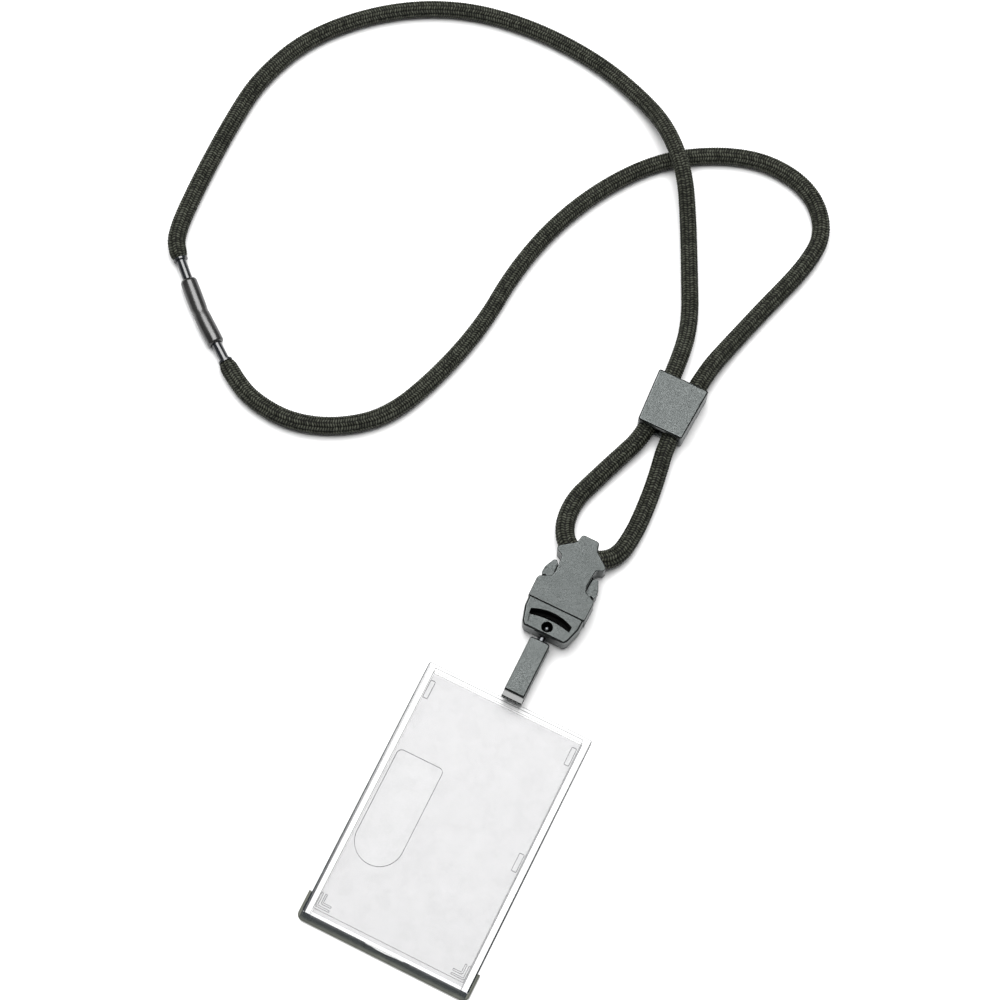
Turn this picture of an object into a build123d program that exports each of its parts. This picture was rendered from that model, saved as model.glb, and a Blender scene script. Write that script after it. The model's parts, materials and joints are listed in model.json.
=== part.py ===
# Lanyard badge holder: a braided neck cord with a breakaway, a slider, a side-release buckle,
# a swivel link and a clear rigid case for one identity card, lying flat on a table.
#
# Frame: millimetres, +Z up.  The origin is the middle of the case's back face.
# +Y runs from the case along the link and the buckle to the neck cord.
from build123d import *
from math import cos, sin, tan, radians, pi
import os

os.makedirs("parts", exist_ok=True)

# ---- driving dimensions ------------------------------------------------------------------
card_width = 53.98  # an ID-1 identity card
card_play = 0.82
case_width, case_length, case_thickness = 60.0, 92.0, 6.0
skin = 1.2  # front and back walls of the case
pocket_width = card_width + card_play
top_wall = 2.2
rail_inset = 2.8  # the raised rails along the long sides of the front
panel_sink = 0.25  # how far the front panel lies below the rails
half_length = case_length / 2

cord_diameter = 6.2
cord_radius = cord_diameter / 2
cord_gap = 0.3  # between the cord and anything that moves on it

buckle_thickness = 9.6
buckle_mid = buckle_thickness / 2
mouth_y = 80.0  # the seam between the two halves of the buckle
latch_x, latch_y = 6.95, 83.0  # where a latch arm bends

slider_thickness = 10.4
slider_mid = slider_thickness / 2
slider_x = 4.1
slider_low_y, slider_high_y = 151.2, 170.6

swivel_y = 73.1  # middle of the swivel's ball
foot_y, foot_z = 48.4, 3.8  # axis of the cross pin that joins the link to the case
knuckle_radius = 2.2
cross_pin_radius = 0.75
neck_radius = 1.0  # the stud's neck and the bores it turns in

pin_diameter = 3.4
sleeve_diameter = 5.8
breakaway = Vector(-156.2, 120.6, cord_radius)  # the bend in the middle of the sleeve
upper_way = Vector(-cos(radians(43)), sin(radians(43)), 0)
lower_way = Vector(cos(radians(36)), -sin(radians(36)), 0)
half_sleeve = 12.6
upper_tip = breakaway + upper_way * 21.1  # the two ends of the cord
lower_tip = breakaway + lower_way * 20.1
pin_in_cord = 5.0
pin_in_sleeve = 9.5

# ---- the cord's route, end to end --------------------------------------------------------
low = cord_radius  # height of the middle of the cord where it lies on the table
hump = low + 2 * cord_diameter  # height where it passes over itself
around_neck = [
    (-177.3, 144.2, low),
    (-178.3, 153.0, low),
    (-179.1, 168.5, low),
    (-179.3, 188.0, low),
    (-178.2, 207.0, low),
    (-169.8, 229.0, low),
    (-150.5, 249.5, low),
    (-127.0, 262.5, low),
    (-101.0, 267.0, low),
    (-74.0, 265.5, low),
    (-52.0, 258.5, 7.0),
    (-39.5, 250.2, hump),
    (-28.0, 238.7, hump),
    (-20.0, 225.3, 7.0),
    (-11.7, 209.0, low),
    (-3.3, 192.0, low),
]
left_in_slider = [(-0.7, 177.0, slider_mid), (0.3, 149.5, slider_mid)]
buckle_loop = [
    (-4.2, 136.5, 3.9),
    (-9.8, 126.0, low),
    (-14.4, 116.5, low),
    (-12.6, 106.5, 3.8),
    (-5.6, 101.0, buckle_mid),
    (3.2, 100.7, buckle_mid),
    (11.0, 105.0, 3.9),
    (13.9, 116.5, low),
    (12.6, 128.0, low),
    (10.6, 137.0, 3.9),
]
right_in_slider = [(7.9, 149.5, slider_mid), (8.9, 177.0, slider_mid)]
back_to_breakaway = [
    (12.6, 192.0, low),
    (17.3, 208.5, low),
    (23.4, 228.0, low),
    (24.4, 242.5, low),
    (14.0, 254.6, low),
    (-3.5, 258.0, low),
    (-21.0, 253.0, low),
    (-38.5, 241.5, low),
    (-51.5, 224.5, low),
    (-61.0, 204.0, low),
    (-66.0, 182.0, low),
    (-67.0, 160.0, low),
    (-72.5, 137.0, low),
    (-81.0, 116.5, low),
    (-94.5, 105.2, low),
    (-110.0, 99.6, low),
    (-125.0, 100.6, low),
]


def corner_radii(points):
    """The largest arc for each corner: it takes 0.45 of the shorter run beside it."""
    radii = []
    for before, here, after in zip(points, points[1:], points[2:]):
        run_in = here - before
        run_out = after - here
        half_turn = radians(run_in.get_angle(run_out)) / 2
        radii.append(0.45 * min(run_in.length, run_out.length) / tan(half_turn))
    return radii


# each end of the cord runs straight off its pin
route = [upper_tip, upper_tip + upper_way * 5]
route += [Vector(*p) for p in around_neck + left_in_slider + buckle_loop]
route += [Vector(*p) for p in right_in_slider + back_to_breakaway]
route += [lower_tip + lower_way * 6.6, lower_tip]
route_radii = corner_radii(route)
print("cord radii:", [round(r, 1) for r in route_radii], "smallest", round(min(route_radii), 1))


# ---- the cord and its breakaway ----------------------------------------------------------
with BuildPart() as neck_cord:
    with BuildLine() as cord_line:
        FilletPolyline(*route, radius=route_radii)
    with BuildSketch(Plane(upper_tip, z_dir=-upper_way)):
        Circle(cord_radius)
    sweep(path=cord_line.wires()[0])
    cord_length = cord_line.wires()[0].length
    cord_volume = neck_cord.part.volume
    bore_depth = pin_in_cord + cord_gap
    for tip, way in ((upper_tip, upper_way), (lower_tip, lower_way)):
        with BuildSketch(Plane(tip, z_dir=way)):
            Circle(pin_diameter / 2 + 0.05)
        extrude(amount=bore_depth, mode=Mode.SUBTRACT)
neck_cord.part.label = "neck_cord"
print("cord length", round(cord_length, 1), "volume", round(cord_volume, 1))
print("section times length", round(pi * cord_radius**2 * cord_length, 1))


def breakaway_pin(tip, way):
    """A smooth pin: one end in the cord, a thin flange against the cord's end, one in the sleeve."""
    visible = (tip - breakaway).length - half_sleeve
    inner_end = tip - way * (visible + pin_in_sleeve)
    flange_start = tip - way * 0.7
    with BuildPart() as pin:
        with BuildSketch(Plane(inner_end, z_dir=way)):
            Circle(pin_diameter / 2)
        extrude(amount=visible + pin_in_sleeve + pin_in_cord)
        chamfer(pin.edges().filter_by(GeomType.CIRCLE), length=0.4)
        with BuildSketch(Plane(flange_start, z_dir=way)):
            Circle(pin_diameter / 2 + 0.8)
        extrude(amount=0.7)
    return pin.part


upper_breakaway_pin = breakaway_pin(upper_tip, upper_way)
upper_breakaway_pin.label = "upper_breakaway_pin"
lower_breakaway_pin = breakaway_pin(lower_tip, lower_way)
lower_breakaway_pin.label = "lower_breakaway_pin"

with BuildPart() as breakaway_sleeve:
    sleeve_top = breakaway + upper_way * half_sleeve
    sleeve_end = breakaway + lower_way * half_sleeve
    with BuildLine() as sleeve_line:
        FilletPolyline(sleeve_top, breakaway, sleeve_end, radius=30)
    with BuildSketch(Plane(sleeve_top, z_dir=-upper_way)):
        Circle(sleeve_diameter / 2)
        Circle(pin_diameter / 2 + 0.05, mode=Mode.SUBTRACT)
    sweep(path=sleeve_line.wires()[0])
breakaway_sleeve.part.label = "breakaway_sleeve"

# ---- the slider --------------------------------------------------------------------------
low_spread, high_spread = 3.9, 4.6  # half the distance between the two strands
slot_height = cord_diameter + 2 * cord_gap
low_half, high_half = 8.2, 9.3  # half the slider's width

with BuildPart() as cord_slider:
    with BuildSketch():
        with BuildLine():
            Polyline(
                (slider_x - low_half, slider_low_y),
                (slider_x + low_half, slider_low_y),
                (slider_x + high_half, slider_high_y),
                (slider_x - high_half, slider_high_y),
                close=True,
            )
        make_face()
    extrude(amount=slider_thickness)
    fillet(cord_slider.edges(), radius=0.7)
    for y, spread in ((slider_low_y - 1, low_spread), (slider_high_y + 1, high_spread)):
        with BuildSketch(Plane((slider_x, y, slider_mid), x_dir=(1, 0, 0), z_dir=(0, 1, 0))):
            SlotCenterToCenter(2 * spread, slot_height)
    loft(mode=Mode.SUBTRACT)
cord_slider.part.label = "cord_slider"

# ---- the buckle's socket -----------------------------------------------------------------
cavity_half, cavity_low, cavity_high, cavity_end = 8.9, 1.5, 8.1, 95.9
socket_side = [
    (3.2, 106.8),
    (3.6, 103.8),
    (8.2, 100.4),
    (9.0, 99.3),
    (8.6, 98.3),
    (6.4, 97.4),
    (6.1, 95.4),
    (5.9, 91.2),
    (6.5, 89.3),
    (10.0, 87.8),
    (10.5, 86.8),
    (10.4, mouth_y + 0.1),
]
socket_rounding = [1.2, 2.4, 0.8, 0.45, 0.45, 0.8, 0.5, 0.8, 0.6, 0.5, 0.5]  # all but the mouth's

with BuildPart() as buckle_socket:
    with BuildSketch():
        with BuildLine():
            left_side = [(-x, y) for x, y in reversed(socket_side)]
            Polyline(*socket_side, *left_side, close=True)
        make_face()
        for (corner_x, corner_y), radius in zip(socket_side, socket_rounding):
            both = [
                v for v in vertices()
                if abs(abs(v.X) - corner_x) < 0.01 and abs(v.Y - corner_y) < 0.01
            ]
            fillet(both, radius=radius)
    extrude(amount=buckle_thickness)
    fillet(buckle_socket.faces().filter_by(Axis.Z).edges(), radius=0.4)
    with BuildSketch(Plane.XY.offset(cavity_low)):
        with Locations((0, (mouth_y + cavity_end) / 2)):
            Rectangle(2 * cavity_half, cavity_end - mouth_y)
    extrude(amount=cavity_high - cavity_low, mode=Mode.SUBTRACT)
    # the eye that the cord runs round: the same points and arcs as the cord's own
    eye_route = [Vector(*p) for p in buckle_loop[2:8]]
    with BuildLine() as eye_line:
        FilletPolyline(*eye_route, radius=corner_radii(eye_route))
    with BuildSketch(Plane(eye_route[0], z_dir=eye_route[1] - eye_route[0])):
        Circle(cord_radius + cord_gap)
    sweep(path=eye_line.wires()[0], mode=Mode.SUBTRACT)
buckle_socket.part.label = "buckle_socket"

# ---- the buckle's plug and its two latch arms --------------------------------------------
plug_side = [(10.1, mouth_y - 0.1), (10.0, 76.6), (8.4, 71.4), (7.4, 70.2)]
barrel_radius = 1.25
plug_rounding = 0.9  # the broad soft rim of the plug
ledge_z = 8.3  # the bar in front of the slot lies below the rim
lip_z = 3.5  # below this the slot is narrower
slot_mid, slot_ends = 78.2, 76.5  # the slot's far side, an arch
bar_mid, bar_ends = 75.6, 74.6  # its near side
slot_half = 7.5
lip_step = 0.9


def arched_slot(far_shift):
    """The slot between the bar and the arch; its far side can be drawn nearer."""
    with BuildSketch() as slot:
        with BuildLine():
            far_ends, far_mid = slot_ends - far_shift, slot_mid - far_shift
            ThreePointArc((-slot_half, far_ends), (0, far_mid), (slot_half, far_ends))
            Line((slot_half, far_ends), (slot_half, bar_ends))
            ThreePointArc((slot_half, bar_ends), (0, bar_mid), (-slot_half, bar_ends))
            Line((-slot_half, bar_ends), (-slot_half, far_ends))
        make_face()
    return slot.sketch


with BuildPart() as buckle_plug:
    with BuildSketch():
        with BuildLine():
            Polyline(*plug_side, *[(-x, y) for x, y in reversed(plug_side)], close=True)
        make_face()
        fillet(vertices().group_by(Axis.Y)[0], radius=1.3)
        fillet(vertices().group_by(Axis.Y)[2], radius=1.3)
    extrude(amount=buckle_thickness)
    rims = buckle_plug.faces().filter_by(Axis.Z).edges()
    fillet([rim for rim in rims if rim.center().Y < mouth_y - 0.2], radius=plug_rounding)
    # the block that fills the socket's mouth, and the guide prong between the arms
    with BuildSketch(Plane.XY.offset(cavity_low + 0.2)):
        with Locations((0, 81.2)):
            Rectangle(2 * (cavity_half - 0.35), 2.8)
    extrude(amount=cavity_high - cavity_low - 0.4)
    with BuildSketch(Plane.XY.offset(cavity_low + 0.9)):
        with Locations((0, 88.0)):
            Rectangle(3.6, 14.0)
    extrude(amount=cavity_high - cavity_low - 1.8)
    fillet(buckle_plug.edges().filter_by(Axis.Z).group_by(Axis.Y)[-1], radius=1.2)
    # seats for the roots of the latch arms
    with BuildSketch(Plane.XY.offset(cavity_low)):
        with Locations((-latch_x, latch_y), (latch_x, latch_y)):
            Circle(barrel_radius + 0.1)
    extrude(amount=cavity_high - cavity_low, mode=Mode.SUBTRACT)
    # the sunk bar, with the arched slot behind it
    with BuildSketch(Plane.XY.offset(ledge_z)):
        with BuildLine():
            Polyline((-slot_half, slot_ends), (-6.8, 71.8), (6.8, 71.8), (slot_half, slot_ends))
            ThreePointArc((slot_half, slot_ends), (0, slot_mid), (-slot_half, slot_ends))
        make_face()
        fillet(vertices().group_by(Axis.Y)[0], radius=0.6)
    extrude(amount=buckle_thickness, mode=Mode.SUBTRACT)
    extrude(Plane.XY.offset(lip_z) * arched_slot(0), amount=buckle_thickness, mode=Mode.SUBTRACT)
    extrude(arched_slot(lip_step), amount=buckle_thickness, mode=Mode.SUBTRACT)
    # the swivel's ball sits in a round notch in the end bar, its neck in the bore below
    with BuildSketch(Plane.XY.offset(buckle_mid - 1.95)):
        with Locations((0, swivel_y)):
            Circle(2.0)
    extrude(amount=buckle_thickness, mode=Mode.SUBTRACT)
    with BuildSketch(Plane((0, 69.0, buckle_mid), z_dir=(0, 1, 0))):
        Circle(neck_radius + 0.1)
    extrude(amount=4.0, mode=Mode.SUBTRACT)
buckle_plug.part.label = "buckle_plug"


def latch_arm(side):
    """One springy arm of the plug, with the button that shows in the socket's side window."""
    outline = [(5.75, 83.2), (6.0, 90.0), (6.4, 94.6), (7.2, 95.5), (8.3, 95.2)]
    outline += [(9.9, 91.8), (10.0, 89.6), (9.6, 88.75), (8.2, 89.4), (8.1, 83.2)]
    with BuildPart() as arm:
        with BuildSketch(Plane.XY.offset(cavity_low + 0.4)):
            with BuildLine():
                Polyline(*[(side * x, y) for x, y in outline], close=True)
            make_face()
            fillet(vertices().group_by(Axis.Y)[1:], radius=0.3)
            with Locations((side * latch_x, latch_y)):
                Circle(barrel_radius)
        extrude(amount=cavity_high - cavity_low - 0.8)
        fillet(arm.faces().filter_by(Axis.Z).edges(), radius=0.25)
        # a shallow round dimple where the finger presses
        with BuildSketch(Plane.XY.offset(cavity_high - 0.4)):
            with Locations((side * 8.9, 91.2)):
                Circle(0.7)
        extrude(amount=-0.3, mode=Mode.SUBTRACT)
    return arm.part


latch_arm_left = latch_arm(-1)
latch_arm_left.label = "latch_arm_left"
latch_arm_right = latch_arm(1)
latch_arm_right.label = "latch_arm_right"

# ---- the swivel and the link -------------------------------------------------------------
link_half, link_low, link_high = 3.6, 1.6, 8.0
link_top = 68.3
shank_y = 48.5  # the shank ends here; only the lower step goes on to the case
step_z = 6.6
shank_depth = 6.0  # how far the stud is sunk in the link
collar_radius, collar_length = 1.6, 1.4
ball_radius = 1.65
fork_half = 1.75  # half the width of the slot that takes the case's lug

with BuildPart() as swivel_stud:
    with BuildSketch(Plane((0, link_top - shank_depth, buckle_mid), z_dir=(0, 1, 0))):
        Circle(neck_radius)
    extrude(amount=swivel_y - link_top + shank_depth)
    with BuildSketch(Plane((0, link_top, buckle_mid), z_dir=(0, 1, 0))):
        Circle(collar_radius)
    extrude(amount=collar_length)
    with Locations((0, swivel_y, buckle_mid)):
        Sphere(ball_radius)
swivel_stud.part.label = "swivel_stud"

with BuildPart() as swivel_link:
    with BuildSketch(Plane.XY.offset(link_low)):
        with Locations((0, (shank_y + link_top) / 2)):
            Rectangle(2 * link_half, link_top - shank_y)
    extrude(amount=link_high - link_low)
    fillet(swivel_link.edges().filter_by(Axis.Z).group_by(Axis.Y)[-1], radius=0.9)
    chamfer(swivel_link.faces().sort_by(Axis.Z)[-1].edges(), length=0.4)
    # a groove along each side, where the two halves of the moulding meet
    for side in (-1, 1):
        with BuildSketch(Plane.YZ.offset(side * link_half - 0.25)):
            with Locations(((shank_y + link_top) / 2 + 0.5, buckle_mid)):
                Rectangle(link_top - shank_y - 3, 0.5)
        extrude(amount=0.5, mode=Mode.SUBTRACT)
    # the stepped foot: square in front, round behind so that the case can fold back
    with BuildSketch(Plane.YZ.offset(-link_half)):
        with Locations((foot_y, foot_z)):
            Circle(knuckle_radius)
        with BuildLine():
            Polyline(
                (foot_y - knuckle_radius, foot_z),
                (foot_y - knuckle_radius, step_z - 0.3),
                (foot_y - knuckle_radius + 0.3, step_z),
                (shank_y + 0.5, step_z),
                (shank_y + 0.5, foot_z - knuckle_radius),
                (foot_y, foot_z - knuckle_radius),
                (foot_y, foot_z),
                close=True,
            )
        make_face()
    extrude(amount=2 * link_half)
    # the slot for the case's lug, closed at the front, and the bores for the pin and the stud
    with BuildSketch(Plane.YZ.offset(-fork_half)):
        with Locations((foot_y, foot_z)):
            Circle(fork_half)
        with Locations((foot_y - fork_half, foot_z)):
            Rectangle(2 * fork_half, 2 * fork_half)
        with Locations((foot_y, foot_z - fork_half)):
            Rectangle(2 * fork_half, 2 * fork_half)
    extrude(amount=2 * fork_half, mode=Mode.SUBTRACT)
    with BuildSketch(Plane.YZ.offset(-link_half - 1)):
        with Locations((foot_y, foot_z)):
            Circle(cross_pin_radius)
    extrude(amount=2 * link_half + 2, mode=Mode.SUBTRACT)
    with BuildSketch(Plane((0, link_top, buckle_mid), z_dir=(0, -1, 0))):
        Circle(neck_radius)
    extrude(amount=shank_depth, mode=Mode.SUBTRACT)
swivel_link.part.label = "swivel_link"

with BuildPart() as hinge_pin:
    with BuildSketch(Plane((-link_half + 0.1, foot_y, foot_z), z_dir=(1, 0, 0))):
        Circle(cross_pin_radius)
    extrude(amount=2 * link_half - 0.2)
    chamfer(hinge_pin.edges().filter_by(GeomType.CIRCLE), length=0.15)
hinge_pin.part.label = "hinge_pin"

# ---- the clear case ----------------------------------------------------------------------
front_level = case_thickness - skin
lug_radius = 1.5

with BuildPart() as case_back:
    with BuildSketch():
        RectangleRounded(case_width, case_length, 0.8)
    extrude(amount=front_level)
    chamfer(case_back.faces().sort_by(Axis.Z)[0].edges(), length=0.4)
    # the pocket for the card, open at the end that the cap closes
    with BuildSketch(Plane.XY.offset(skin)):
        with Locations((0, -top_wall)):
            Rectangle(pocket_width, case_length)
    extrude(amount=front_level, mode=Mode.SUBTRACT)
    # the lug that the link's cross pin goes through
    with BuildSketch(Plane.YZ.offset(-1.5)):
        with Locations((foot_y, foot_z)):
            Circle(lug_radius)
        with BuildLine():
            Polyline(
                (half_length - 1, front_level),
                (half_length + 0.2, front_level),
                (foot_y, foot_z + lug_radius),
                (foot_y, foot_z - lug_radius),
                (half_length - 1, foot_z - lug_radius),
                close=True,
            )
        make_face()
    extrude(amount=3.0)
    with BuildSketch(Plane.YZ.offset(-2)):
        with Locations((foot_y, foot_z)):
            Circle(0.82)
    extrude(amount=4.0, mode=Mode.SUBTRACT)
case_back.part.label = "case_back"

thumb_left, thumb_right = -26.0, -9.4
thumb_top, thumb_low = 15.6, -23.0
thumb_radius = (thumb_right - thumb_left) / 2
windows = [(-26.0, 37.5), (25.8, 38.0), (25.8, -1.0)]
corner_ribs = [(4.6, 0.6), (3.2, 2.0)]  # length of each leg, distance in from the pocket's corner

with BuildPart() as case_front:
    with BuildSketch(Plane.XY.offset(front_level)):
        RectangleRounded(case_width, case_length, 0.8)
    extrude(amount=skin)
    chamfer(case_front.faces().sort_by(Axis.Z)[-1].edges(), length=0.3)
    # the panel is sunk between two raised rails
    with BuildSketch(Plane.XY.offset(case_thickness - panel_sink)):
        with Locations((0, 0.6)):
            Rectangle(case_width - 2 * rail_inset, case_length - 3.6)
    extrude(amount=1.0, mode=Mode.SUBTRACT)
    # the thumb slot that pushes the card out
    with BuildSketch(Plane.XY.offset(front_level - 0.5)):
        with BuildLine():
            middle = (thumb_left + thumb_right) / 2
            turn = thumb_low + thumb_radius
            Polyline((thumb_left, turn), (thumb_left, thumb_top), (thumb_right, thumb_top),
                     (thumb_right, turn))
            ThreePointArc((thumb_right, turn), (middle, thumb_low), (thumb_left, turn))
        make_face()
        fillet(vertices().group_by(Axis.Y)[-1], radius=1.8)
    extrude(amount=2.0, mode=Mode.SUBTRACT)
    # the small windows over the catches that hold the two halves together
    with BuildSketch(Plane.XY.offset(front_level - 0.5)):
        with Locations(*windows):
            RectangleRounded(1.7, 6.3, 0.3)
    extrude(amount=2.0, mode=Mode.SUBTRACT)
    # stepped ribs in the lower corners stop the card
    for side in (-1, 1):
        for leg, inset in corner_ribs:
            corner_x = side * (pocket_width / 2 - inset)
            corner_y = -half_length + 3.0 + inset
            with BuildSketch(Plane.XY.offset(front_level - 0.5)):
                with Locations((corner_x - side * leg / 2, corner_y)):
                    Rectangle(leg, 0.6)
                with Locations((corner_x, corner_y + leg / 2)):
                    Rectangle(0.6, leg)
            extrude(amount=0.6)
case_front.part.label = "case_front"

cap_overhang = 1.0
cap_end_y = -half_length - 3.0
cap_arm_y = -39.0

with BuildPart() as case_end_cap:
    with BuildSketch():
        with Locations((0, (cap_end_y + cap_arm_y) / 2)):
            Rectangle(case_width + 2 * cap_overhang, cap_arm_y - cap_end_y)
        fillet(vertices().group_by(Axis.Y)[0], radius=2.3)
        with Locations((0, -half_length + 4.85)):
            Rectangle(case_width + 0.3, 10.0, mode=Mode.SUBTRACT)
    extrude(amount=case_thickness)
    fillet(case_end_cap.faces().filter_by(Axis.Z).edges().group_by(Axis.Y)[0], radius=0.6)
    # the tongue that closes the card's slot
    with BuildSketch(Plane.XY.offset(skin + 0.3)):
        with Locations((0, -half_length + 1.1)):
            Rectangle(pocket_width - 0.8, 2.9)
    extrude(amount=front_level - skin - 1.1)
    # the finger recess and the catch in it
    with BuildSketch(Plane.XY.offset(case_thickness - 1.6)):
        with Locations((0, -half_length - 1.0)):
            Rectangle(14.0, 1.7)
    extrude(amount=2.0, mode=Mode.SUBTRACT)
    with BuildSketch(Plane.XY.offset(case_thickness - 1.6)):
        with Locations((0, -half_length - 1.2)):
            RectangleRounded(2.6, 1.3, 0.3)
    extrude(amount=1.1)
case_end_cap.part.label = "case_end_cap"

# ---- one file for each piece -------------------------------------------------------------
pieces = [
    neck_cord.part,
    upper_breakaway_pin,
    lower_breakaway_pin,
    breakaway_sleeve.part,
    cord_slider.part,
    buckle_socket.part,
    buckle_plug.part,
    latch_arm_left,
    latch_arm_right,
    swivel_stud.part,
    swivel_link.part,
    hinge_pin.part,
    case_back.part,
    case_front.part,
    case_end_cap.part,
]
for piece in pieces:
    export_step(piece, f"parts/{piece.label}.step")
    box = piece.bounding_box()
    print(piece.label, len(piece.solids()), round(piece.volume, 1), piece.is_valid, box.size)
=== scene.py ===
# %% [markdown]
# # A lanyard badge holder
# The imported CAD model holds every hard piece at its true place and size. This script dresses it: it
# knits the cord, moulds the soft sleeve, and gives each piece its finish.

# %% Load the frame
import bpy
import json
import numpy as np
from math import cos, sin, pi, radians, sqrt
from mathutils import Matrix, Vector
from mathutils.geometry import intersect_line_line


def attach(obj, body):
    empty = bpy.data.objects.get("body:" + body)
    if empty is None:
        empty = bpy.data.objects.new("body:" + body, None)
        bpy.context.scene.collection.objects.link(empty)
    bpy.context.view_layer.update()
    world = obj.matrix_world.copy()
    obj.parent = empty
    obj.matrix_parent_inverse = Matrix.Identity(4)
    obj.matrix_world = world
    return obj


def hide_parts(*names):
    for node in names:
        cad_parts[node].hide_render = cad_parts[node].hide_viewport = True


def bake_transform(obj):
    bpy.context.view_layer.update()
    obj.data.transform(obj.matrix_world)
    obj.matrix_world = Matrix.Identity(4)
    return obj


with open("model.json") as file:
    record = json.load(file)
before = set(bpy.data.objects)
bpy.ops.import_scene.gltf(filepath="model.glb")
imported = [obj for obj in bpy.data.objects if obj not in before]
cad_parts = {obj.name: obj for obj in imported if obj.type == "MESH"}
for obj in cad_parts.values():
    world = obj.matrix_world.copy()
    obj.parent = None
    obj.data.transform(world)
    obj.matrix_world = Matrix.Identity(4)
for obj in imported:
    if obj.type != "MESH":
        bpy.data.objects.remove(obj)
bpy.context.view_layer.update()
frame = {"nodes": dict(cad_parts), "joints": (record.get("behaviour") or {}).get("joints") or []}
mm = 0.001

# %% [markdown]
# ## Camera
# Something flat on a table shows best from almost straight above, through a long lens. A real
# camera stand tilts a little, so the near sides of the buckle and the slider show too. The camera
# is placed by the angles it looks from and its distance, and the same angles place the light later.

# %% Camera
VIEW_AZIMUTH = radians(26.37)
VIEW_ELEVATION = radians(75.0)
LOOK_AT = Vector((-34.43, 107.41, 0.0)) * mm
CAMERA_DISTANCE = 950.1 * mm
SENSOR_WIDTH = 36.0
LENS = 100.8


def direction(azimuth, elevation):
    """Unit vector from the object towards something seen at these angles."""
    flat = cos(elevation)
    return Vector((sin(azimuth) * flat, -cos(azimuth) * flat, sin(elevation)))


def aim(thing, place, target):
    """Put a camera or a light at a place, looking at the target."""
    thing.location = place
    thing.rotation_euler = (target - place).to_track_quat("-Z", "Y").to_euler()
    bpy.context.scene.collection.objects.link(thing)


camera_data = bpy.data.cameras.new("camera")
camera_data.sensor_width = SENSOR_WIDTH
camera_data.lens = LENS
camera = bpy.data.objects.new("camera", camera_data)
aim(camera, LOOK_AT + direction(VIEW_AZIMUTH, VIEW_ELEVATION) * CAMERA_DISTANCE, LOOK_AT)
bpy.context.scene.camera = camera
print("camera at", [round(v, 3) for v in camera.location])

# %% [markdown]
# ## The surround
# Black plastic only shows its shape by what it mirrors, so even an empty room matters. It could be
# one even grey. Here it is a little brighter low down than overhead, so the sides that face away
# from the light don't go fully black.

# %% The surround
bpy.context.scene.view_settings.view_transform = "Standard"

WORLD_STOPS = [(0.0, 0.16), (0.3, 0.14), (0.7, 0.10), (1.0, 0.10)]  # height seen, brightness

world = bpy.data.worlds.new("studio")
world.use_nodes = True
sky = world.node_tree
seen_way = sky.nodes.new("ShaderNodeTexCoord")
split = sky.nodes.new("ShaderNodeSeparateXYZ")
dimmer = sky.nodes.new("ShaderNodeValToRGB")
stops = dimmer.color_ramp.elements
while len(stops) < len(WORLD_STOPS):
    stops.new(0.5)
for stop, (height, brightness) in zip(stops, WORLD_STOPS):
    stop.position = height
    stop.color = (brightness, brightness, brightness, 1.0)
sky.links.new(seen_way.outputs["Generated"], split.inputs[0])
sky.links.new(split.outputs["Z"], dimmer.inputs["Fac"])
sky.links.new(dimmer.outputs["Color"], sky.nodes["Background"].inputs["Color"])
bpy.context.scene.world = world
print("surround from", WORLD_STOPS[0][1], "low down to", WORLD_STOPS[-1][1], "overhead")

# %% [markdown]
# ## The light
# A small lamp would leave one hot spot on each piece. One large soft light stands where the top
# faces mirror it into the camera, which turns them grey and leaves their sides dark.

# %% The light
SOFTBOX_ELEVATION = radians(74)
SOFTBOX_DISTANCE = 1.15
SOFTBOX_SIZE = 1.0
SOFTBOX_POWER = 28.0
mirror_azimuth = VIEW_AZIMUTH + pi

softbox_data = bpy.data.lights.new("overhead_softbox", "AREA")
softbox_data.shape = "SQUARE"
softbox_data.size = SOFTBOX_SIZE
softbox_data.energy = SOFTBOX_POWER
softbox = bpy.data.objects.new("overhead_softbox", softbox_data)
aim(softbox, LOOK_AT + direction(mirror_azimuth, SOFTBOX_ELEVATION) * SOFTBOX_DISTANCE, LOOK_AT)
print("light at", [round(v, 3) for v in softbox.location])

# %% [markdown]
# ## The floor
# A plain pale table top, wide enough that its edge never shows. It lies a hair below the object,
# because two faces in the same place are seen in turns, as streaks, and the case is see-through.

# %% The floor
HALF_FLOOR = 2.0
FLOOR_Z = -0.2 * mm

around_middle = ((-1, -1), (1, -1), (1, 1), (-1, 1))
floor_corners = [(x * HALF_FLOOR, y * HALF_FLOOR, FLOOR_Z) for x, y in around_middle]
floor_mesh = bpy.data.meshes.new("floor")
floor_mesh.from_pydata(floor_corners, [], [(0, 1, 2, 3)])
floor = bpy.data.objects.new("floor", floor_mesh)
bpy.context.scene.collection.objects.link(floor)
print("floor", 2 * HALF_FLOOR, "m wide,", round(-FLOOR_Z / mm, 1), "mm below the object")

# %% [markdown]
# ## Tools for nodes
# Materials and geometry trees are both made of nodes. These helpers only save typing: one makes a
# node and sets it, and the others are arithmetic on sockets or numbers.

# %% Node helpers
def add(tree, kind, **settings):
    """A new node in a tree, with its properties set."""
    node = tree.nodes.new(kind)
    for name, value in settings.items():
        setattr(node, name, value)
    return node


def maths(tree, operation, first, second=None):
    """A Math node; each operand is a socket or a number."""
    node = add(tree, "ShaderNodeMath", operation=operation)
    for place, value in ((0, first), (1, second)):
        if value is None:
            continue
        if isinstance(value, (int, float)):
            node.inputs[place].default_value = value
        else:
            tree.links.new(value, node.inputs[place])
    return node.outputs[0]


def plus(tree, first, second):
    """first + second."""
    return maths(tree, "ADD", first, second)


def minus(tree, first, second):
    """first - second."""
    return maths(tree, "SUBTRACT", first, second)


def times(tree, first, second):
    """first x second."""
    return maths(tree, "MULTIPLY", first, second)


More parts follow.
